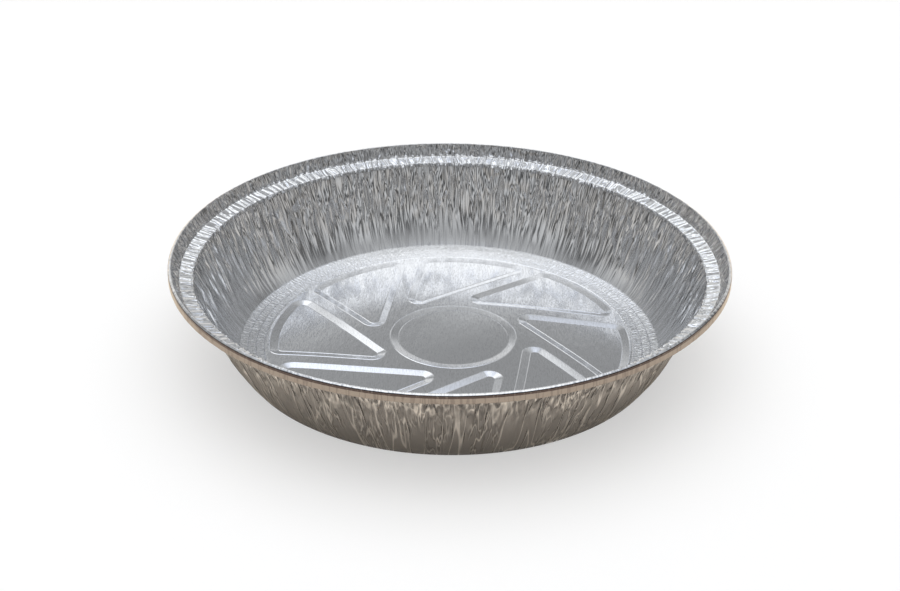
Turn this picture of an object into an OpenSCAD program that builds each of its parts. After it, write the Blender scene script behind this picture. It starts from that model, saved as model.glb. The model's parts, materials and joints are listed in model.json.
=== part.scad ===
// Round foil pie tin, pressed as one piece from a disc of thin aluminium foil.
// The base stands on the table at z = 0 and carries eight pressed panels that sweep
// round a centre disc like a pinwheel. Above the foot crease the spare foil of the
// disc is gathered into wrinkles, which run up the wall, over the ledge and up the
// lip to the curled edge.

/* [Rim] */
// Diameter over the hem that hangs from the curled edge
rim_d = 230; // [215:1:250]
// Thickness of the curled edge
curl_d = 1.3; // [1:0.1:2]
// Height of the hem, from the middle of the curled edge down to its lower edge
hem_h = 3; // [1.5:0.1:3.4]
// How much further out the hem stands at its lower edge than at the curled edge
hem_lean = 0.3; // [0:0.1:0.5]
// Thickness of the hem
hem_t = 0.3; // [0.2:0.05:0.4]
// Width of the flared lip, seen from above, from the ledge to the middle of the curl
lip_run = 3.1; // [2:0.1:5]
// Height of the lip, from the ledge to the middle of the curl
lip_rise = 4.4; // [2.5:0.1:8]
// Width of the ledge, seen from above
ledge_w = 5.7; // [3:0.1:9]
// How much higher the outer edge of the ledge lies than its inner edge
ledge_rise = 1.4; // [0.5:0.1:3]

/* [Wall] */
// Thickness of the foil
foil_t = 0.1; // [0.08:0.01:0.2]
// Height of the wall, from the foot crease to the ledge
wall_h = 34.9; // [20:0.1:60]
// Diameter at the foot crease, where wall and base meet
foot_d = 176.6; // [165:0.1:190]
// How far the wall bulges outwards, a quarter of the way up
wall_bulge = 1.5; // [0:0.1:2]
// Thickness of the foot crease
crease_d = 0.5; // [0.4:0.05:0.8]

/* [Wrinkles] */
// Number of wrinkles around the wall
pleat_count = 130; // [80:10:150]
// How far the deepest wrinkles stand in and out of the wall
pleat_depth = 0.65; // [0.2:0.05:0.9]
// How far the wrinkles lean, as a share of the space between two of them
pleat_lean = 0.9; // [0:0.1:1.5]
// Starting number of the wrinkles' random depths
pleat_seed = 11; // [1:1:99]

/* [Base] */
// How much higher the foot crease lies than the ribs of the base
foot_rise = 0.9; // [0.5:0.1:2]
// Width of each band around the edge of the base
band_w = 3.4; // [2:0.1:4]
// Number of bands around the edge of the base
band_count = 3; // [2:1:3]
// Flat land between the innermost band and the panels
edge_land = 2.4; // [1:0.1:4]
// Number of pressed panels
panel_count = 8; // [6:1:9]
// How deep the panels and the centre disc are pressed
panel_depth = 0.5; // [0.3:0.05:1]
// Width of the sloping step around each panel and around the centre disc
step_w = 2.5; // [1.5:0.1:3]
// Distance from the middle of the tin to the long side of each panel
panel_offset = 30.6; // [29:0.1:34]
// Width of the ribs between the panels
rib_w = 6.6; // [5:0.1:9]
// Corner radius of the panels, at the ribs
corner_r = 5; // [4:0.1:6]
// Diameter of the centre disc, at the ribs
disc_d = 52.6; // [40:0.1:56]
// Turn of the panels around the tin
panel_turn = 36; // [0:1:45]

/* [Hidden] */
$fn = 360;

foil_colour = [0.80, 0.81, 0.82];

// Heights are those of the foil's lower side. The panels and the disc rest at zero.
rib_z = panel_depth;
foot_z = rib_z + foot_rise;
foot_r = foot_d / 2;
band_in_r = foot_r - band_count * band_w;
panel_r = band_in_r - edge_land;
disc_r = disc_d / 2;

// The middle of the foil, from the foot up to the middle of the curl.
into_curl = 0.05;
hem_out = curl_d / 2 - into_curl;
curl_r = rim_d / 2 - hem_lean - hem_out;
foot_pt = [foot_r, foot_z + foil_t / 2];
curl_pt = [curl_r, foot_pt.y + wall_h + ledge_rise + lip_rise];
ledge_out_pt = curl_pt - [lip_run, lip_rise];
ledge_in_pt = ledge_out_pt - [ledge_w, ledge_rise];

function unit(v) = v / norm(v);
// Side of a line that points out of the tin, for a line that climbs outwards.
function out_of(v) = [unit(v).y, -unit(v).x];

// The wall is crossed by rows of points, and the rows above it follow the rim.
wall_rows = 4;
wall_slope = ledge_in_pt - foot_pt;
function wall_row(k) =
    foot_pt + wall_slope * k / wall_rows
        + out_of(wall_slope) * wall_bulge * sin(180 * sqrt(k / wall_rows));
rows = concat(
    [for (k = [0 : wall_rows - 1]) wall_row(k)],
    [ledge_in_pt, ledge_out_pt, curl_pt]
);
row_count = len(rows);
columns = 2 * pleat_count;

// Wrinkles are deepest at the top of the wall and run out towards the foot and curl.
ledge_share = 0.75;
lip_share = 0.6;
function wrinkle_share(row) =
    row < wall_rows ? sqrt(row / wall_rows) :
    row == wall_rows ? ledge_share :
    row == wall_rows + 1 ? lip_share : 0;

least_depth = 0.35;
depths = rands(least_depth, 1, row_count * columns, pleat_seed);
function depth(row, col) =
    (col % 2 == 0 ? 1 : -1) * pleat_depth * wrinkle_share(row) * depths[row * columns + col];

// Leaning changes smoothly around the tin, so that neighbours never cross.
lean_waves = 7;
slow_waves = 3;
function lean(row, col) =
    let (a = 360 * col / columns)
    pleat_lean * row / (row_count - 1) * (sin(lean_waves * a) + sin(slow_waves * a));

// Direction in which a row is moved, long enough to keep the foil's thickness.
function row_normal(row) =
    let (
        before = out_of(rows[max(row, 1)] - rows[max(row, 1) - 1]),
        after = out_of(rows[min(row, row_count - 2) + 1] - rows[min(row, row_count - 2)])
    )
    (before + after) / (1 + before * after);
row_normals = [for (row = [0 : row_count - 1]) row_normal(row)];

// One point of the wall: side is 1 on the outside of the foil and -1 on the inside.
function wall_point(row, col, side) =
    let (
        p = rows[row] + row_normals[row] * (depth(row, col) + side * foil_t / 2),
        a = 360 * (col + lean(row, col)) / columns
    )
    [p.x * cos(a), p.x * sin(a), p.y];

// Each column runs up the outside of the foil and back down the inside. Both sides are
// folded along the same diagonals, so that the foil is equally thick all over.
loop_n = 2 * row_count;
wall_points = [
    for (col = [0 : columns - 1], k = [0 : loop_n - 1])
        k < row_count ? wall_point(k, col, 1) : wall_point(loop_n - 1 - k, col, -1)
];
function wall_index(col, k) = (col % columns) * loop_n + k % loop_n;
wall_faces = [
    for (col = [0 : columns - 1], k = [0 : loop_n - 1])
        let (
            a = wall_index(col, k), b = wall_index(col, k + 1),
            c = wall_index(col + 1, k + 1), d = wall_index(col + 1, k),
            side = k < row_count ? 0 : 1
        )
        each ((col + side) % 2 == 0 ? [[a, b, c], [a, c, d]] : [[a, b, d], [b, c, d]])
];

// Panels are drawn with the long side facing along +X, then turned into place.
panel_pitch = 360 / panel_count;
corner_steps = 6;
arc_steps = 9;
function dir(a) = [cos(a), sin(a)];
function arc(centre, r, from, to, steps) =
    [for (k = [0 : steps]) centre + r * dir(from + (to - from) * k / steps)];

// Middle of each rounded corner, for corners whose middles lie g inside the sides.
function tip_corner(g) =
    let (long = panel_offset + g, short = panel_offset - rib_w - g)
    [long, (short - long * cos(panel_pitch)) / sin(panel_pitch)];
function sharp_corner(g) =
    [panel_offset + g, -sqrt(pow(panel_r - g, 2) - pow(panel_offset + g, 2))];
function blunt_corner(g) =
    let (short = panel_offset - rib_w - g)
    dir(panel_pitch) * short
        + dir(panel_pitch - 90) * sqrt(pow(panel_r - g, 2) - pow(short, 2));

// Outline of a panel whose sides are moved in by g, counter-clockwise.
function panel_outline(g) =
    let (
        r = corner_r - g,
        sharp = sharp_corner(corner_r), blunt = blunt_corner(corner_r),
        a_sharp = atan2(sharp.y, sharp.x), a_blunt = atan2(blunt.y, blunt.x)
    )
    concat(
        arc([0, 0], panel_r - g, a_sharp, a_blunt, arc_steps),
        arc(blunt, r, a_blunt, panel_pitch, corner_steps),
        arc(tip_corner(corner_r), r, panel_pitch, 180, corner_steps),
        arc(sharp, r, 180, 360 + a_sharp, corner_steps)
    );
// The arcs share their end points, so each repeated point is left out.
tiny = 0.001;
function without_repeats(pts) = [
    for (k = [0 : len(pts) - 1])
        if (norm(pts[k] - pts[(k + 1) % len(pts)]) > tiny) pts[k]
];

// Shape of one pressed panel, with sloping sides that run on a little above the ribs.
run_on = 0.1;
module pressed_panel() {
    low = without_repeats(panel_outline(step_w));
    high = without_repeats(panel_outline(-run_on * step_w / panel_depth));
    n = len(low);
    polyhedron(
        points = concat(
            [for (p = low) [p.x, p.y, 0]],
            [for (p = high) [p.x, p.y, rib_z + run_on]]
        ),
        faces = concat(
            [[for (k = [0 : n - 1]) k]],
            [[for (k = [n - 1 : -1 : 0]) n + k]],
            [for (k = [0 : n - 1]) [k, n + k, n + (k + 1) % n, (k + 1) % n]]
        )
    );
}

// The bands rise towards the foot, each a little steeper than the one inside it.
function band_edge(k) = [
    foot_r - k * band_w,
    rib_z + foot_rise * pow(1 - k / band_count, 2)
];

// Block with the shape of the base as its top, ending past the foot by the given width.
block_depth = 1;
module base_block(past_foot) {
    slope = band_edge(0) - band_edge(1);
    difference() {
        rotate_extrude()
            polygon(concat(
                [[0, -block_depth], [0, 0], [disc_r - step_w, 0], [disc_r, rib_z]],
                [for (k = [band_count : -1 : 0]) band_edge(k)],
                [band_edge(0) + slope * past_foot / slope.x],
                [[foot_r + past_foot, -block_depth]]
            ));
        for (k = [0 : panel_count - 1])
            rotate(panel_turn + k * panel_pitch) pressed_panel();
    }
}

// Base: flat ribs, pressed panels and disc, and the bands that climb to the foot.
// It is the skin between two blocks, and its edge ends inside the foot crease.
into_crease = 0.1;
module base() {
    difference() {
        translate([0, 0, foil_t]) base_block(into_crease);
        base_block(2 * into_crease);
    }
}

// The folded crease at the foot, which joins the wall to the base.
crease_sides = 6;
module foot_crease() {
    rotate_extrude() translate(foot_pt) circle(d = crease_d, $fn = crease_sides);
}

// The edge of the lip: the foil is rolled into a bead, and a hem of doubled foil hangs
// from it on the outside of the tin.
curl_sides = 24;
module curled_edge() {
    hem_top = curl_pt + [hem_out - hem_t, 0];
    hem_end = hem_top + [hem_lean, -hem_h];
    rotate_extrude() {
        translate(curl_pt) circle(d = curl_d, $fn = curl_sides);
        polygon([hem_top, hem_end, hem_end + [hem_t, 0], hem_top + [hem_t, 0]]);
    }
}

module wrinkled_wall() {
    polyhedron(points = wall_points, faces = wall_faces);
}

module foil_tin() {
    color(foil_colour) {
        union() {
            base();
            wrinkled_wall();
            foot_crease();
            curled_edge();
        }
    }
}

foil_tin();
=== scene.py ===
"""Round foil pie tin, pressed from one disc of thin aluminium foil.

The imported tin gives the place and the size. The foil is modelled again with its fine
wrinkles: the pressed base, the gathered wall, and the rim with its rolled edge.
Sizes are in millimetres in this script and in metres in the meshes.
"""
import json
import math

import bmesh
import bpy
import numpy as np
from mathutils import Matrix, Vector

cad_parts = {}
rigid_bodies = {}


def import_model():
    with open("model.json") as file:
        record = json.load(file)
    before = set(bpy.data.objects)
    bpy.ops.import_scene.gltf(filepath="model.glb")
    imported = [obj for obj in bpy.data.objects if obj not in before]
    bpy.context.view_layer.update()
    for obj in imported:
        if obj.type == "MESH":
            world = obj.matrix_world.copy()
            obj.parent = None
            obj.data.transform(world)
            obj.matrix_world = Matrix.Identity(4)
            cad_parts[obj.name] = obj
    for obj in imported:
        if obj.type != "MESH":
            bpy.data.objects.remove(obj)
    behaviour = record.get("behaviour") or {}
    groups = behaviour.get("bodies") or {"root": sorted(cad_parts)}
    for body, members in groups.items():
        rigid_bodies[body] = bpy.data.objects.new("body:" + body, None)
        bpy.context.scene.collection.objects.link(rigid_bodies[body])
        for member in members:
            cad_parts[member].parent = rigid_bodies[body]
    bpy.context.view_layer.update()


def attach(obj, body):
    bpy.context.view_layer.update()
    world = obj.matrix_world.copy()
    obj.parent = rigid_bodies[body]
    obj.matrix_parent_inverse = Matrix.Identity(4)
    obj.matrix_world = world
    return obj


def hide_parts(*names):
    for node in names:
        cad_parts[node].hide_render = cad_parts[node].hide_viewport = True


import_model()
MM = 0.001

# Sizes of the tin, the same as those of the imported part. Points are (radius, height).
FOIL = 0.1
FOOT_R, FOOT_Z = 88.3, 1.45
LEDGE_IN = (105.30, 36.35)
LEDGE_OUT = (111.00, 37.75)
BULGE = 1.5
BAND_W, BANDS, FOOT_RISE = 3.4, 3, 0.9
PRESS, STEP_W = 0.5, 2.5
PANELS, PANEL_R, PANEL_OFFSET, RIB_W, CORNER_R = 8, 75.7, 30.6, 6.6, 5.0
DISC_R = 26.3

# Sizes that only the finer foil made here has
LIP_END = (113.72, 42.72)
CREASE_R = 0.22
PANEL_TURN = 36.6
DISC_PRESS = 0.38
DOME = 1.5
BEAD = 0.08
# The nearest side of the rim is lifted, and more so towards the right.
LIFT, LIFT_TILT, LIFT_OVER = 1.3, 0.45, 40
# Small step between two bands: half its width, and how far it goes below and above them
BAND_STEP_W, BAND_STEP_DOWN, BAND_STEP_UP = 0.25, 0.20, 0.17
# Width of the slope from the innermost band to the flat ribs
RIB_EDGE = 0.75
# The pressed pattern lies off the middle, by less and less out to a radius.
PATTERN_X, PATTERN_Y, PATTERN_SKEW, PATTERN_R = 1.7, 0.7, 0.02, 78.5
# Height of the soft waves in the flat foil
WAVES = 0.10

# Points around each sheet and up the wall
COLUMNS = 1800
RIM_COLUMNS = 2700
BASE_COLUMNS = 360
DISC_COLUMNS = 120
WALL_ROWS = 26
# Side of the squares that the base is cut into, and the share of it by which they are
# moved, so that no cut runs through the middle
CUT, CUT_SHIFT = 3.0, 0.37
# Points closer than this, in metres, become one.
SAME = 1e-7


# Modelling helpers
def deselect():
    if bpy.context.object and bpy.context.object.mode != "OBJECT":
        bpy.ops.object.mode_set(mode="OBJECT")
    bpy.ops.object.select_all(action="DESELECT")


def only(piece):
    deselect()
    piece.select_set(True)
    bpy.context.view_layer.objects.active = piece


def edit(piece):
    only(piece)
    bpy.ops.object.mode_set(mode="EDIT")
    bpy.ops.mesh.select_mode(type="VERT")
    bpy.ops.mesh.select_all(action="DESELECT")
    return bmesh.from_edit_mesh(piece.data)


def start_ring(name, r, z, count):
    """An open ring of points, which the rest of a piece is drawn out from."""
    deselect()
    bpy.ops.mesh.primitive_circle_add(
        vertices=count, radius=r * MM, fill_type="NOTHING", location=(0, 0, z * MM))
    piece = bpy.context.object
    piece.name = piece.data.name = name
    bpy.ops.object.transform_apply(location=True, rotation=True, scale=True)
    return piece


def draw_out(profile):
    """Extrudes the selected ring through each (radius, height) of a profile in turn."""
    for (r0, z0), (r1, z1) in zip(profile, profile[1:]):
        bpy.ops.mesh.extrude_edges_move(
            TRANSFORM_OT_translate={"value": (0, 0, (z1 - z0) * MM)})
        bpy.ops.transform.resize(value=(r1 / r0, r1 / r0, 1), center_override=(0, 0, 0))


def spun_sheet(name, profile, columns=COLUMNS):
    piece = start_ring(name, *profile[0], columns)
    edit(piece)
    bpy.ops.mesh.select_all(action="SELECT")
    draw_out(profile)
    bpy.ops.mesh.select_all(action="SELECT")
    bpy.ops.mesh.remove_doubles(threshold=SAME)
    bpy.ops.mesh.normals_make_consistent(inside=False)
    bpy.ops.object.mode_set(mode="OBJECT")
    return piece


def points_of(piece):
    co = np.empty(len(piece.data.vertices) * 3)
    piece.data.vertices.foreach_get("co", co)
    return co.reshape(-1, 3) / MM


def move_points(piece, pts):
    piece.data.vertices.foreach_set("co", (pts * MM).ravel())
    piece.data.update()


def give_thickness(piece, offset):
    only(piece)
    skin = piece.modifiers.new("foil", "SOLIDIFY")
    skin.thickness = FOIL * MM
    skin.offset = offset
    skin.use_rim = True
    bpy.ops.object.modifier_apply(modifier=skin.name)


def straight(p, q, steps):
    """Points in a straight line from p to q, both of them included."""
    p, q = np.array(p), np.array(q)
    return [tuple(p + (q - p) * k / steps) for k in range(steps + 1)]


def lengths_along(profile, start=0.0):
    steps = [math.dist(p, q) for p, q in zip(profile, profile[1:])]
    return list(start + np.cumsum([0] + steps))


# Profile of the wall, which bulges outwards, most of all a third of the way up
BULGE_TOP = 6.75
BULGE_OUT, BULGE_DOWN = 0.9, 0.44
wall_profile = []
for k, (r, z) in enumerate(straight((FOOT_R, FOOT_Z), LEDGE_IN, WALL_ROWS)):
    up = k / WALL_ROWS
    bulge = BULGE * BULGE_TOP * up * (1 - up) ** 2
    wall_profile.append((r + BULGE_OUT * bulge, z - BULGE_DOWN * bulge))
wall_lengths = lengths_along(wall_profile)

# How far the wall, the ledge and the lip end from the foot, along the foil
WALL_LEN = wall_lengths[-1]
TO_LEDGE_END = WALL_LEN + math.dist(LEDGE_IN, LEDGE_OUT)
TO_LIP_END = TO_LEDGE_END + math.dist(LEDGE_OUT, LIP_END)

# Wrinkles are drawn on the foil as if it were rolled out at this radius.
EVEN_R = 100


# Noise that the wrinkles are made from
def fade(x, a, b):
    """Goes smoothly from 0 to 1 as x goes from a to b."""
    t = np.clip((x - a) / (b - a), 0, 1)
    return t * t * (3 - 2 * t)


def chance(i, j, k):
    """A repeatable number from 0 to 1 for whole numbers i, j and k."""
    x = np.sin(i * 127.1 + j * 311.7 + k * 74.7) * 43758.5453
    return x - np.floor(x)


def rumple(turn, s, cell, length, seed):
    """Smooth noise that meets itself round the tin. Its cells are cell mm wide and length
    mm long, and it runs from about -0.6 to 0.6."""
    around = round(2 * math.pi * EVEN_R / cell)
    u, v = turn * around, s / length
    iu, iv = np.floor(u), np.floor(v)
    fu, fv = u - iu, v - iv
    total = np.zeros(u.shape)
    for a in (0, 1):
        for b in (0, 1):
            way = 2 * np.pi * chance(np.mod(iu + a, around), iv + b, seed)
            share = fade(fu, 1 - a, a) * fade(fv, 1 - b, b)
            total += share * (np.cos(way) * (fu - a) + np.sin(way) * (fv - b))
    return total


def ridges(noise, width):
    """Narrow folds along the lines where the noise is zero, from 0 to 1."""
    return np.exp(-(noise / width) ** 2)


# Narrow folds of the wall, one kind a row: how far they stand out, the width, length and
# seed of their noise, how narrow they are, and the shares of the wall's length between
# which they grow.
WALL_FOLDS = (
    (0.48, 6.0, 34, 11, 0.075, -1, 0),
    (-0.42, 4.4, 27, 23, 0.10, -0.3, 0.4),
    (0.34, 3.4, 14, 37, 0.12, 0.25, 0.75),
)


def wall_folds(t, s):
    """Soft waves and narrow folds up the wall, weak at the foot and gone at the ledge."""
    up = s / WALL_LEN
    share = fade(up, 0, 0.12) * (1 - fade(s, WALL_LEN - 1.6, WALL_LEN))
    share = share * (0.2 + 0.8 * fade(up, 0.08, 0.6))
    h = share * 0.32 * rumple(t, s, 7, 34, 3)
    for height, cell, length, seed, width, low, high in WALL_FOLDS:
        h += share * height * ridges(rumple(t, s, cell, length, seed), width) * fade(up, low, high)
    return h


def pleats(turn, s):
    """Uneven folds side by side across the ledge, from 0 to about 1.1."""
    count, finer = 204, 2.5
    place = turn * count + 1.1 * rumple(turn, s, 9, 30, 51) + 0.8 * rumple(turn, s, 2.6, 7, 57)
    wide = 1 - (1 - np.abs(np.mod(place, 1) - 0.5) * 2) ** 1.1
    fine = np.abs(np.mod(place * finer + 0.3, 1) - 0.5) * 2
    return 0.75 * wide + 0.38 * fine


def ledge_folds(turn, s):
    """The pleats of the ledge, which end unevenly on the wall and on the lip."""
    one_row = np.zeros_like(s)
    start = WALL_LEN - 0.3 + 0.8 * rumple(turn, one_row, 1.6, 9, 61)
    end = TO_LEDGE_END + 0.6 + 1.6 * rumple(turn, one_row, 2.0, 9, 63)
    share = fade(s, start - 0.5, start + 0.3) * (1 - fade(s, end - 0.5, end + 0.5))
    height, middle = 0.66 + 0.3 * rumple(turn, s, 5, 9, 65), 0.55
    return share * height * (pleats(turn, s) - middle)


def lip_folds(t, s):
    """Crumples of the lip, which run out towards the rolled edge."""
    share = fade(s, TO_LEDGE_END, TO_LEDGE_END + 0.8)
    share = share * (1 - 0.85 * fade(s, TO_LIP_END - 1, TO_LIP_END))
    return share * (0.26 * rumple(t, s, 3.4, 6, 67) + 0.34 * ridges(rumple(t, s, 3.0, 8, 71), 0.12))


def edge_folds(t, s):
    return 0.10 * rumple(t, s, 1.8, 9, 79) * fade(s, TO_LIP_END, TO_LIP_END + 0.4)


def wrinkle(turn, s):
    """How far the foil stands out, at a turn from 0 to 1 and a distance up from the foot."""
    a = 2 * np.pi * turn
    lean = 0.0030 * np.sin(7 * a) + 0.0045 * np.sin(3 * a + 1) + 0.0015 * np.sin(17 * a)
    t = turn + lean * s / WALL_LEN + 0.0030 * rumple(turn, s, 14, 18, 5)
    return wall_folds(t, s) + ledge_folds(turn, s) + lip_folds(t, s) + edge_folds(t, s)


def lift(pts):
    """The side of the tin that is nearest in the photograph has been pushed up a little."""
    r = np.hypot(pts[:, 0], pts[:, 1])
    near = fade(-pts[:, 1] / r, 0, 0.65) * (LIFT + LIFT_TILT * pts[:, 0] / r)
    pts[:, 2] += near * np.clip((pts[:, 2] - FOOT_Z) / LIFT_OVER, 0, 1)


def gather(piece, profile, lengths):
    """Moves the points of a spun sheet out and in along the profile's normal, and notes
    how far up from the foot each of them lies along the foil."""
    pts = points_of(piece)
    r = np.hypot(pts[:, 0], pts[:, 1])
    prof = np.array(profile)
    off_rows = np.hypot(r[:, None] - prof[None, :, 0], pts[:, 2:3] - prof[None, :, 1])
    row = np.argmin(off_rows, axis=1)
    along = np.gradient(prof, axis=0)
    along /= np.linalg.norm(along, axis=1)[:, None]
    out = np.stack([along[:, 1], -along[:, 0]], axis=1)
    turn = np.mod(np.arctan2(pts[:, 1], pts[:, 0]) / (2 * np.pi), 1)
    h = wrinkle(turn, np.array(lengths)[row])
    new_r = r + h * out[row, 0]
    pts[:, 0] *= new_r / r
    pts[:, 1] *= new_r / r
    pts[:, 2] += h * out[row, 1]
    lift(pts)
    move_points(piece, pts)
    reach = piece.data.attributes.new("reach", "FLOAT", "POINT")
    reach.data.foreach_set("value", np.array(lengths)[row] * MM)


# Wall
wall = spun_sheet("gathered_wall", wall_profile[:-1])
gather(wall, wall_profile[:-1], wall_lengths[:-1])

# Ledge and lip
rim_profile = (wall_profile[-2:-1] + straight(LEDGE_IN, LEDGE_OUT, 6)
               + straight(LEDGE_OUT, LIP_END, 8)[1:])
rim_lengths = lengths_along(rim_profile, wall_lengths[-2])
rim = spun_sheet("flared_rim", rim_profile, RIM_COLUMNS)
gather(rim, rim_profile, rim_lengths)

# Rolled edge: the foil goes over a narrow slope, tucks in, and hangs down as a hem.
edge_profile = [
    rim_profile[-2], LIP_END, (113.84, 42.86), (114.06, 42.84), (114.42, 42.60), (114.76, 42.36),
    (114.88, 42.18), (114.89, 41.92), (114.82, 41.70), (114.81, 41.40), (114.86, 40.60),
    (114.92, 39.80), (114.95, 39.35), (114.90, 39.14), (114.76, 39.20), (114.64, 40.00)]
edge_lengths = lengths_along(edge_profile, rim_lengths[-2])
TUCK = edge_lengths[8]
edge = spun_sheet("rolled_edge", edge_profile, RIM_COLUMNS)
gather(edge, edge_profile, edge_lengths)

# Bands of the base, which rise towards the foot with a small step up after each
PITCH = 360 / PANELS
rib_z = PRESS
band_edges = [
    (FOOT_R - k * BAND_W, rib_z + FOOT_RISE * (1 - k / BANDS) ** 2) for k in range(BANDS + 1)
]
ribs_r = band_edges[-1][0] - RIB_EDGE
band_profile = band_edges[:1]
for r, z in band_edges[1:]:
    band_profile += [(r + BAND_STEP_W, z - BAND_STEP_DOWN), (r - BAND_STEP_W, z + BAND_STEP_UP)]
band_profile += [(ribs_r, rib_z)]
base = start_ring("pressed_base", *band_profile[0], BASE_COLUMNS)
edit(base)
bpy.ops.mesh.select_all(action="SELECT")
draw_out(band_profile)


# Pressed panels
def heading(a):
    return np.array([math.cos(math.radians(a)), math.sin(math.radians(a))])


def arc(centre, r, a, b, steps):
    """Points along an arc, without its last one, where the next arc begins."""
    return [np.array(centre) + r * heading(a + (b - a) * k / steps) for k in range(steps)]


def panel_outline(g):
    """Outline of a panel with its sides moved in by g, long side facing along +X."""
    long, short = PANEL_OFFSET + CORNER_R, PANEL_OFFSET - RIB_W - CORNER_R
    tip = np.array([long, (short - long * heading(PITCH)[0]) / heading(PITCH)[1]])
    sharp = np.array([long, -math.sqrt((PANEL_R - CORNER_R) ** 2 - long ** 2)])
    blunt = heading(PITCH) * short + heading(PITCH - 90) * math.sqrt(
        (PANEL_R - CORNER_R) ** 2 - short ** 2)
    a_sharp = math.degrees(math.atan2(sharp[1], sharp[0]))
    a_blunt = math.degrees(math.atan2(blunt[1], blunt[0]))
    r = CORNER_R - g
    return (arc((0, 0), PANEL_R - g, a_sharp, a_blunt, 30) + arc(blunt, r, a_blunt, PITCH, 10)
            + arc(tip, r, PITCH, 180, 12) + arc(sharp, r, 180, 360 + a_sharp, 12))


def to_outline(outline, z):
    """Moves the selected ring, point by point, onto an outline at a height."""
    bm = bmesh.from_edit_mesh(base.data)
    ring = [v for v in bm.verts if v.select]
    ring.sort(key=lambda v: v.index)
    for v, q in zip(ring, outline):
        v.co = Vector((q[0] * MM, q[1] * MM, z * MM))


def turn_selected(degrees):
    bpy.ops.transform.rotate(
        value=-math.radians(degrees), orient_axis="Z", center_override=(0, 0, 0))


# One panel is drawn in and down, over a fine bead, to its flat floor, and then repeated.
panel_steps = [(-0.7, 0), (-0.35, BEAD), (0.05, 0), (STEP_W - 0.05, -PRESS),
               (STEP_W + 0.35, -PRESS - BEAD), (STEP_W + 0.7, -PRESS)]
outlines = [(panel_outline(g), rib_z + z) for g, z in panel_steps]
bpy.ops.mesh.select_all(action="DESELECT")
bpy.ops.mesh.primitive_circle_add(
    vertices=len(outlines[0][0]), radius=DISC_R * MM, fill_type="NOTHING")
to_outline(*outlines[0])
for outline, z in outlines[1:]:
    bpy.ops.mesh.extrude_edges_move(TRANSFORM_OT_translate={"value": (0, 0, -PRESS * MM)})
    to_outline(outline, z)
bpy.ops.mesh.edge_face_add()
bpy.ops.mesh.select_linked()
turn_selected(PANEL_TURN)
for k in range(PANELS - 1):
    bpy.ops.mesh.duplicate()
    turn_selected(PITCH)

# Centre disc, pressed in the same way
disc_floor_r, disc_floor_z = DISC_R - STEP_W, rib_z - DISC_PRESS
disc_profile = [
    (DISC_R + 0.7, rib_z), (DISC_R + 0.3, rib_z + BEAD), (DISC_R - 0.1, rib_z),
    (disc_floor_r, disc_floor_z), (disc_floor_r - 0.4, disc_floor_z - BEAD / 2),
    (disc_floor_r - 0.8, disc_floor_z)]
bpy.ops.mesh.select_all(action="DESELECT")
bpy.ops.mesh.primitive_circle_add(
    vertices=DISC_COLUMNS, radius=disc_profile[0][0] * MM, fill_type="NOTHING",
    location=(0, 0, rib_z * MM))
draw_out(disc_profile)
bpy.ops.mesh.edge_face_add()
bpy.ops.object.mode_set(mode="OBJECT")

# Flat ribs, filled in between the bands, the panels and the disc
bm = edit(base)
for e in bm.edges:
    if e.is_boundary and max(v.co.xy.length for v in e.verts) < (FOOT_R - 1) * MM:
        e.select = True
bm.select_flush(True)
bmesh.update_edit_mesh(base.data)
bpy.ops.mesh.fill(use_beauty=True)
bpy.ops.mesh.select_all(action="SELECT")
bpy.ops.mesh.remove_doubles(threshold=SAME)
bpy.ops.mesh.normals_make_consistent(inside=False)

# Every fold of the base is kept sharp, and so is the outer edge of the ribs.
SHARP = math.radians(3)
ON_EDGE = 0.02
bpy.ops.mesh.select_all(action="DESELECT")
bpy.ops.mesh.select_mode(type="EDGE")
bpy.ops.mesh.edges_select_sharp(sharpness=SHARP)
bm = bmesh.from_edit_mesh(base.data)
for e in bm.edges:
    if all(abs(v.co.xy.length / MM - ribs_r) < ON_EDGE for v in e.verts):
        e.select = True
bmesh.update_edit_mesh(base.data)
bpy.ops.mesh.mark_sharp()

# The flats are cut into squares, small enough for the base to be curved.
cuts = math.ceil(FOOT_R / CUT) - 1
for axis in ((1, 0, 0), (0, 1, 0)):
    for k in range(-cuts, cuts + 1):
        bpy.ops.mesh.select_all(action="SELECT")
        bpy.ops.mesh.bisect(
            plane_co=Vector(axis) * (k + CUT_SHIFT) * CUT * MM, plane_no=axis, threshold=SAME)
bpy.ops.mesh.select_all(action="SELECT")
bpy.ops.mesh.normals_make_consistent(inside=False)
if sum(f.normal.z for f in bmesh.from_edit_mesh(base.data).faces) < 0:
    bpy.ops.mesh.flip_normals()
bpy.ops.object.mode_set(mode="OBJECT")

# The middle of the base is pushed up a little, the pattern was pressed slightly off the
# middle, and thin foil is never quite flat.
pts = points_of(base)
r = np.hypot(pts[:, 0], pts[:, 1])
inside = np.clip(1 - (r / (FOOT_R - BANDS * BAND_W)) ** 2, 0, 1)
pts[:, 2] += DOME * inside
off = np.clip(1 - (r / PATTERN_R) ** 4, 0, 1)
pts[:, 0] += (PATTERN_X - PATTERN_SKEW * pts[:, 1]) * off
pts[:, 1] += PATTERN_Y * off
wave = (np.sin(pts[:, 0] / 17 + 0.6) * np.sin(pts[:, 1] / 23 + 1.9)
        + 0.6 * np.sin(pts[:, 0] / 9.5 - pts[:, 1] / 13 + 0.4))
pts[:, 2] += WAVES * wave * np.clip(inside * 2, 0, 1)
move_points(base, pts)

# Folded crease that joins the base to the wall
deselect()
bpy.ops.mesh.primitive_torus_add(
    major_radius=FOOT_R * MM, minor_radius=CREASE_R * MM, major_segments=256, minor_segments=8,
    location=(0, 0, FOOT_Z * MM))
crease = bpy.context.object
crease.name = crease.data.name = "foot_crease"
bpy.ops.object.transform_apply(location=True, rotation=True, scale=True)

for piece, offset in ((wall, 0), (rim, 0), (edge, 0), (base, 1)):
    give_thickness(piece, offset)


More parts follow.
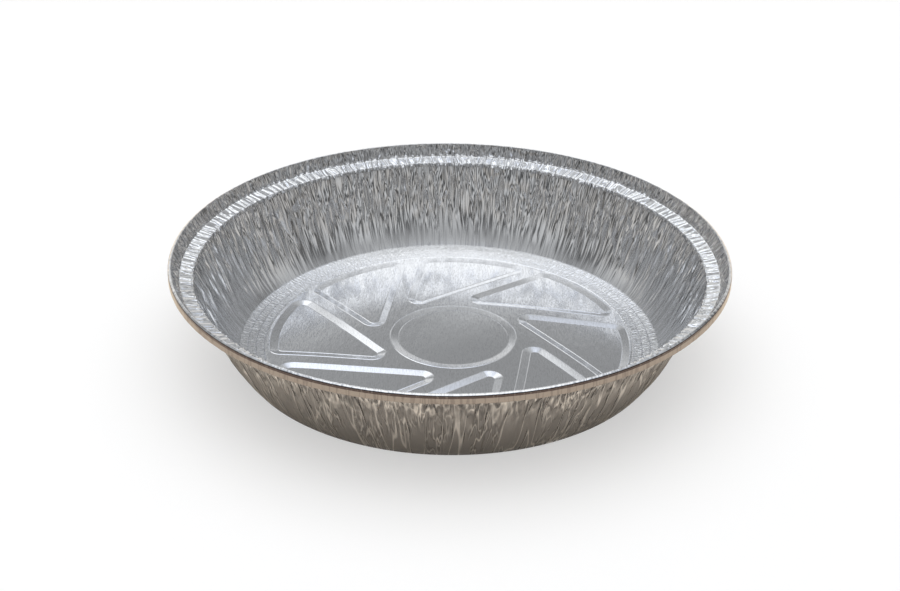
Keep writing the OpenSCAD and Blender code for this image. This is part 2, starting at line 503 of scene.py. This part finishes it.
# Finishes
class Wire:
    """A value or a vector in a material. Sums written on it become Math nodes."""

    def __init__(self, tree, socket):
        self.tree = tree
        self.socket = socket

    def math(self, operation, a, b):
        return node(self.tree, "ShaderNodeMath", {"operation": operation}, {0: a, 1: b})

    def __add__(self, other):
        return self.math("ADD", self, other)

    def __radd__(self, other):
        return self.math("ADD", other, self)

    def __sub__(self, other):
        return self.math("SUBTRACT", self, other)

    def __rsub__(self, other):
        return self.math("SUBTRACT", other, self)

    def __mul__(self, other):
        return self.math("MULTIPLY", self, other)

    def __rmul__(self, other):
        return self.math("MULTIPLY", other, self)

    def __truediv__(self, other):
        return self.math("DIVIDE", self, other)

    def __rtruediv__(self, other):
        return self.math("DIVIDE", other, self)

    def __pow__(self, other):
        return self.math("POWER", self, other)


def join(tree, value, socket):
    """Links a wire to a socket, or sets the socket to a plain value."""
    if isinstance(value, Wire):
        tree.links.new(value.socket, socket)
    else:
        socket.default_value = value


def node(tree, kind, settings=None, links=None, out=0):
    """Adds a node, sets what it is and then its values and links, and gives one output."""
    made = tree.nodes.new(kind)
    for key, value in (settings or {}).items():
        setattr(made, key, value)
    for key, value in (links or {}).items():
        join(tree, value, made.inputs[key])
    return Wire(tree, made.outputs[out])


def between(value, low, high, start=0.0, end=1.0):
    """Goes smoothly from start to end as a value goes from low to high."""
    if low > high:
        low, high, start, end = high, low, end, start
    return node(value.tree, "ShaderNodeMapRange", {"interpolation_type": "SMOOTHSTEP"}, {
        "Value": value, "From Min": low, "From Max": high, "To Min": start, "To Max": end})


def within(value, low, high, soft):
    """1 between two values, and fading to 0 outside them."""
    return between(value, low - soft, low) * between(value, high + soft, high)


def parts_of(vector):
    split = node(vector.tree, "ShaderNodeSeparateXYZ", links={0: vector})
    return [Wire(vector.tree, socket) for socket in split.socket.node.outputs]


def mixed_values(share, first, second):
    return node(share.tree, "ShaderNodeMix", {"data_type": "FLOAT"}, {
        0: share, 2: first, 3: second})


def mixed_colours(share, first, second):
    first, second = [c if isinstance(c, Wire) else (*c, 1) for c in (first, second)]
    return node(share.tree, "ShaderNodeMix", {"data_type": "RGBA"}, {
        0: share, 6: first, 7: second}, out=2)


def cloudy(where, scale, detail, roughness=0.5):
    return node(where.tree, "ShaderNodeTexNoise", links={
        "Vector": where, "Scale": scale, "Detail": detail, "Roughness": roughness})


def creased(where, cell, shift=0.0, detail=1.0):
    """Sharp creases between soft hollows, in cells of cell mm: 0 in a crease, up to 1.
    The pattern is moved by shift, in metres."""
    moved = node(where.tree, "ShaderNodeVectorMath", {"operation": "ADD"}, {
        0: where, 1: (shift, shift, shift)})
    swing = (cloudy(moved, 1 / (cell * MM), detail) - 0.5) * 2.0
    return node(where.tree, "ShaderNodeMath", {"operation": "ABSOLUTE"}, {0: swing})


def in_crease(fold, width):
    """Picks out the bottom of the creases."""
    return between(fold, width, 0.0)


def reach_of(place):
    """How far up from the foot a place lies along the foil, in metres."""
    return node(place.tree, "ShaderNodeAttribute", {"attribute_name": "reach"}, out="Fac")


def along_foil(place, stretch):
    """The place on the foil, rolled out evenly round the tin. Marks made on it are drawn
    out up the wall, the more so the smaller stretch is."""
    x, y, z = parts_of(place)
    r = (x * x + y * y) ** 0.5
    return node(place.tree, "ShaderNodeCombineXYZ", links={
        "X": x / r * (EVEN_R * MM), "Y": y / r * (EVEN_R * MM), "Z": reach_of(place) * stretch})


def rolled(place, degrees, scale):
    """The place on the sheet the tin was pressed from, turned and scaled along it."""
    return node(place.tree, "ShaderNodeMapping", links={
        "Vector": place, "Rotation": (0, 0, math.radians(degrees)), "Scale": scale})


def outside_of(place):
    """1 on the outside of the tin and 0 on the inside."""
    facing = node(place.tree, "ShaderNodeNewGeometry", out="True Normal")
    out = node(place.tree, "ShaderNodeVectorMath", {"operation": "DOT_PRODUCT"}, {
        0: facing, 1: place}, out=1)
    return between(out, -0.01, 0.01)


FOIL_COLOUR = (0.90, 0.905, 0.915)


def foil(name, roughness, surface, dark=(0.25, 0.25, 0.26)):
    """Aluminium foil. surface(place) gives the fine relief in mm, a share of painted shade and
    highlight (with grain on the base) that mixes the colour towards dark, and a change of
    roughness; these are 0 on plain flat foil."""
    mat = bpy.data.materials.new(name)
    mat.use_nodes = True
    tree = mat.node_tree
    bsdf = tree.nodes["Principled BSDF"]
    bsdf.inputs["Metallic"].default_value = 1
    relief, shade, rough = surface(node(tree, "ShaderNodeTexCoord", out="Object"))
    bump = node(tree, "ShaderNodeBump", links={"Strength": 1.0, "Distance": MM, "Height": relief})
    join(tree, bump, bsdf.inputs["Normal"])
    join(tree, mixed_colours(shade, FOIL_COLOUR, dark), bsdf.inputs["Base Color"])
    join(tree, roughness + rough, bsdf.inputs["Roughness"])
    return mat


def wall_surface(place):
    reach = reach_of(place)
    where = along_foil(place, 0.085)
    patch = cloudy(along_foil(place, 0.5), 70.0, 1.0)
    top = between(reach, WALL_LEN * 0.5 * MM, WALL_LEN * MM)
    outside = outside_of(place)

    # Inside are long folds with short ticks between them, weak near the foot and in calm
    # patches. Each tick has a line of painted shade 0.22 mm beside it.
    folds = creased(where, 4.2, detail=0.6)
    ticks = creased(where, 2.2, 0.7)
    beside = creased(where, 2.2, 0.70022)
    calm = between(patch, 0.40, 0.60, 0.35, 1.25)
    strong = between(reach, WALL_LEN * 0.1 * MM, WALL_LEN * 0.65 * MM, 0.15, 1.0)
    # Painted shade: the inside is darker towards the top and in a band under the ledge.
    painted_shade_under_ledge = between(reach, (WALL_LEN - 3.0) * MM, (WALL_LEN - 0.5) * MM)
    inner = (in_crease(folds, 0.22) * 0.27 + in_crease(ticks, 0.30) * calm * 0.15) * strong
    inner_painted_shade = in_crease(beside, 0.16) * 0.22 + top * 0.10 + painted_shade_under_ledge * 0.20

    # Outside are folds in loops near the top and in long lines lower down. The outside is
    # painted darker all over, with painted highlights along the loops, the long lines and the
    # hairlines, and painted shade beside the loops and the hairlines.
    loops = creased(along_foil(place, 0.30), 3.4, 0.2)
    low = creased(where, 5.0, 0.4)
    hair = creased(along_foil(place, 0.17), 1.9, 0.9)
    busy = between(patch, 0.47, 0.60) * 0.7 + top * 0.5
    # Painted highlights: the painted shade is taken away along these creases.
    bright = (in_crease(loops, 0.10) * top + in_crease(low, 0.04) * (1.0 - top)
              + in_crease(hair, 0.09) * busy)
    # Painted shade beside the loops
    dark = within(loops, 0.20, 0.30, 0.05) * top
    outer = in_crease(loops, 0.26) * top * 0.30 + in_crease(low, 0.20) * 0.34
    outer_painted_light = (0.74 - bright * 0.75 + dark * 0.25
                   + within(hair, 0.13, 0.20, 0.04) * busy * 0.25)

    relief = inner * (1.0 - outside) - outer * outside
    shade = inner_painted_shade * (1.0 - outside) + outer_painted_light * outside
    return relief, shade, ticks * 0.04 + (1.0 - strong) * 0.09


def rim_surface(place):
    """Fine ticks on the ledge, and a crumpled lip with painted shade, darker all over and more so
    in its creases.
    """
    ledge = within(reach_of(place), (WALL_LEN + 0.4) * MM, (TO_LEDGE_END - 0.4) * MM, 0.6 * MM)
    lip = 1.0 - ledge
    ticks = creased(along_foil(place, 0.10), 1.1)
    crumple = along_foil(place, 0.25)
    folds = creased(crumple, 3.2)
    small = creased(crumple, 2.0, 0.7)
    crumples = in_crease(folds, 0.3) * 0.30 + in_crease(small, 0.35) * 0.14
    relief = ticks * ledge * 0.06 + crumples * lip
    # Painted shade: the lip is darker all over, more so in its small creases.
    shade = in_crease(small, 0.14) * lip * 0.30 + lip * 0.32
    return relief, shade, small * 0.04


def edge_surface(place):
    """A bright slope, painted shadow in the tuck under it, and painted shade that makes the hem
    grey.
    """
    reach = reach_of(place)
    where = along_foil(place, 0.08)
    tuck = within(reach, (TUCK - 0.72) * MM, (TUCK + 0.40) * MM, 0.1 * MM)
    hem = between(reach, (TUCK + 0.3) * MM, (TUCK + 0.5) * MM)
    ticks = creased(where, 1.9)
    dashes = between(creased(where, 1.6, 0.3), 0.0, 0.14)
    # Painted shadow along the tuck, broken into dashes, painted shade on the hem, and painted shade
    # in the creases of the ticks
    shade = (tuck * (0.8 + dashes * 0.2) * 1.15 + hem * 0.73
             + in_crease(ticks, 0.14) * (0.2 - hem * 0.1))
    return ticks * 0.10, shade, ticks * 0.06


def base_surface(place):
    """Rolling grain and wisps on the flats, mottled bands with a line of painted shade along each
    step.
    """
    x, y, z = parts_of(place)
    r = (x * x + y * y) ** 0.5
    grain = cloudy(rolled(place, -12, (1900, 360, 1900)), 1.0, 2.0, 0.6)
    wisps = cloudy(rolled(place, -20, (420, 120, 420)), 1.0, 3.0, 0.6)
    bands = between(r, 76.5 * MM, 78.5 * MM)
    bands_r = 83 * MM
    around = node(place.tree, "ShaderNodeCombineXYZ", links={
        "X": x / r * bands_r, "Y": y / r * bands_r, "Z": r * 0.45})
    mottle = creased(around, 1.5)
    # Lines of painted shade along the steps between the bands
    lines = sum(within(r, (edge_r - 0.20) * MM, (edge_r + 0.20) * MM, 0.2 * MM)
                for edge_r, _ in band_edges[1:])
    facing = node(place.tree, "ShaderNodeNewGeometry", out="Normal")
    flat = between(parts_of(facing)[2], 0.984, 0.994)
    relief = grain * 0.014 * (0.4 + flat * 0.6) + wisps * 0.07 * flat + mottle * bands * 0.22
    # The flats are painted a little darker than the bands, and painted shade lies along each step
    # and in the creases of the mottle. The grain is the foil's own tone.
    shade = (0.06 - bands * 0.06 + lines * 0.36 + in_crease(mottle, 0.12) * bands * 0.12
             + (grain - 0.5) * (0.55 + flat * 0.55))
    return relief, shade, (grain - 0.5) * 0.2 * flat + bands * 0.07


wall_foil = foil("wall_foil", 0.12, wall_surface)
rim_foil = foil("rim_foil", 0.13, rim_surface)
# The edge's painted shadow and painted shade mix towards a near-black.
edge_foil = foil("edge_foil", 0.16, edge_surface, dark=(0.095, 0.082, 0.088))
base_foil = foil("base_foil", 0.15, base_surface)

SMOOTH = math.radians(60)
for piece, mat in ((wall, wall_foil), (rim, rim_foil), (edge, edge_foil), (base, base_foil),
                   (crease, wall_foil)):
    piece.data.materials.clear()
    piece.data.materials.append(mat)
    only(piece)
    bpy.ops.object.shade_smooth_by_angle(angle=SMOOTH, keep_sharp_edges=True)
    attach(piece, "root")
    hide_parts("foil_tin")


# Floor and ground card
def matt(name):
    """A matt material and its shader, which still needs a colour."""
    mat = bpy.data.materials.new(name)
    mat.use_nodes = True
    bsdf = mat.node_tree.nodes["Principled BSDF"]
    bsdf.inputs["Roughness"].default_value = 0.9
    return mat, bsdf


deselect()
bpy.ops.mesh.primitive_plane_add(size=8, location=(0, 0, 0))
floor = bpy.context.object
floor.name = "floor"
pale, pale_shader = matt("pale_floor")
pale_shader.inputs["Base Color"].default_value = (0.40, 0.40, 0.40, 1)
pale_shader.inputs["Emission Color"].default_value = (1, 1, 1, 1)
pale_shader.inputs["Emission Strength"].default_value = 0.5
floor.data.materials.append(pale)

# A tan card around the foot is seen only in the foil, as the ground is in the photograph.
CARD_IN, CARD_OUT, CARD_Z = 86, 1500, 0.3
card = start_ring("ground_card", CARD_IN, CARD_Z, 180)
edit(card)
bpy.ops.mesh.select_all(action="SELECT")
draw_out([(CARD_IN, CARD_Z), (CARD_OUT, CARD_Z)])
bpy.ops.object.mode_set(mode="OBJECT")
tan, tan_shader = matt("tan_card")
x, y, z = parts_of(node(tan.node_tree, "ShaderNodeTexCoord", out="Object"))
# Painted shadow: the card is darker near the foot of the tin and lighter further out.
out_of_painted_shadow = between((x * x + y * y) ** 0.5, 92 * MM, 165 * MM)
ground = mixed_colours(out_of_painted_shadow, (0.80, 0.72, 0.62), (0.97, 0.80, 0.61))
join(tan.node_tree, ground, tan_shader.inputs["Base Color"])
card.data.materials.append(tan)
card.visible_camera = card.visible_shadow = card.visible_diffuse = False

# Room that is reflected in the foil. A direction has a side (1 is right), a depth (1 is
# straight beyond the tin), a level (1 is overhead), and a turn to the right of beyond.
scene = bpy.context.scene
scene.view_settings.view_transform = "Standard"
world = bpy.data.worlds.new("soft_studio")
world.use_nodes = True
scene.world = world
tree = world.node_tree
tree.nodes.clear()
side, depth, level = parts_of(node(tree, "ShaderNodeTexCoord", out="Generated"))
turn = node(tree, "ShaderNodeMath", {"operation": "ARCTAN2"}, {0: side, 1: depth})


def turned(left, right, soft):
    """1 between two turns in degrees, and fading to 0 outside them."""
    return within(turn, math.radians(left), math.radians(right), soft)


# Walls, with soft strips of light that fade out low down, high up and beyond the tin
high = between(level, 0.15, 0.45)
walls = mixed_values(high, between(depth, -0.7, 0.7, 0.30, 0.40),
                     between(depth, -0.5, 0.5, 0.34, 0.28))
STRIPS = 7.0
strips = node(tree, "ShaderNodeMath", {"operation": "COSINE"}, {0: turn * STRIPS})
strips = (strips * between(level, -0.1, 0.2) * between(level, 0.46, 0.64, 0.8, 0.12)
          * between(depth, 0.9, 0.6))
room = walls * (1.0 - strips)

# A window on the left and a dark corner on the right, a pale wall beyond the tin, and a
# skylight high up on the left
upper = within(level, 0.20, 0.46, 0.08)
window = turned(-62, -9, 0.12) * upper
corner = turned(20, 62, 0.15) * upper
glow = between(level, 0.49, 0.42) * between(depth, 0.45, 0.75)
skylight = turned(-34, -11, 0.05) * within(level, 0.63, 0.80, 0.05)
room = room * (1.0 - corner * 0.15) + window * 0.16 + glow * 0.34 + skylight * 0.75

# A wide soft lamp overhead with a halo round it. It is dimmer a little beyond its middle.
# The soft edges of both lie between two angles from the lamp's middle, kept as cosines.
LAMP_UP = math.radians(87)
LAMP_IN, LAMP_OUT, HALO_IN, HALO_OUT = [math.cos(math.radians(a)) for a in (29, 38, 40, 56)]
to_lamp = depth * math.cos(LAMP_UP) + level * math.sin(LAMP_UP)
halo = between(to_lamp, HALO_OUT, HALO_IN)
room = room + halo * (0.08 + between(depth, -0.1, 0.3) * 0.14)
lit = between(to_lamp, LAMP_OUT, LAMP_IN)
lamp_power = 1.25 - within(depth, 0.14, 0.34, 0.06) * 0.58
power = mixed_values(lit, room, lamp_power)

# The room is warm low down and cool high up, and the edge of the lamp is blue.
tone = mixed_colours(high, (1.03, 1.0, 0.96), (0.98, 1.0, 1.02))
tone = mixed_colours(lit * (1.0 - lit) * 3.2, tone, (0.86, 0.95, 1.15))
sky = node(tree, "ShaderNodeVectorMath", {"operation": "SCALE"}, {0: tone, "Scale": power})

# The camera itself sees a pale backdrop.
seen = node(tree, "ShaderNodeLightPath", out="Is Camera Ray")
back = mixed_colours(seen, sky, (0.93, 0.93, 0.93))
light = node(tree, "ShaderNodeBackground", links={"Color": back, "Strength": 1.0})
world_out = tree.nodes.new("ShaderNodeOutputWorld")
tree.links.new(light.socket, world_out.inputs["Surface"])

# One more lamp keeps the floor pale.
deselect()
lamp = bpy.data.lights.new("floor_lamp", "AREA")
lamp.shape = "DISK"
lamp.size = 6
lamp.energy = 110
above = bpy.data.objects.new("floor_lamp", lamp)
above.location = (0, 0, 3)
above.visible_glossy = False
scene.collection.objects.link(above)

# Camera, at the photograph's viewing angle
cam = bpy.data.cameras.new("camera")
cam.sensor_fit = "HORIZONTAL"
cam.sensor_width = 36
cam.lens = 62.96
cam_at = bpy.data.objects.new("camera", cam)
right = Vector((0.999962, 0.003926, 0.007813))
up = Vector((-0.008740, 0.472718, 0.881170))
ahead = Vector((0.000234, 0.881205, -0.472734))
aim = Matrix((right, up, -ahead)).transposed().to_4x4()
cam_at.matrix_world = Matrix.Translation((0, -0.58025, 0.33309)) @ aim
scene.collection.objects.link(cam_at)
scene.camera = cam_at
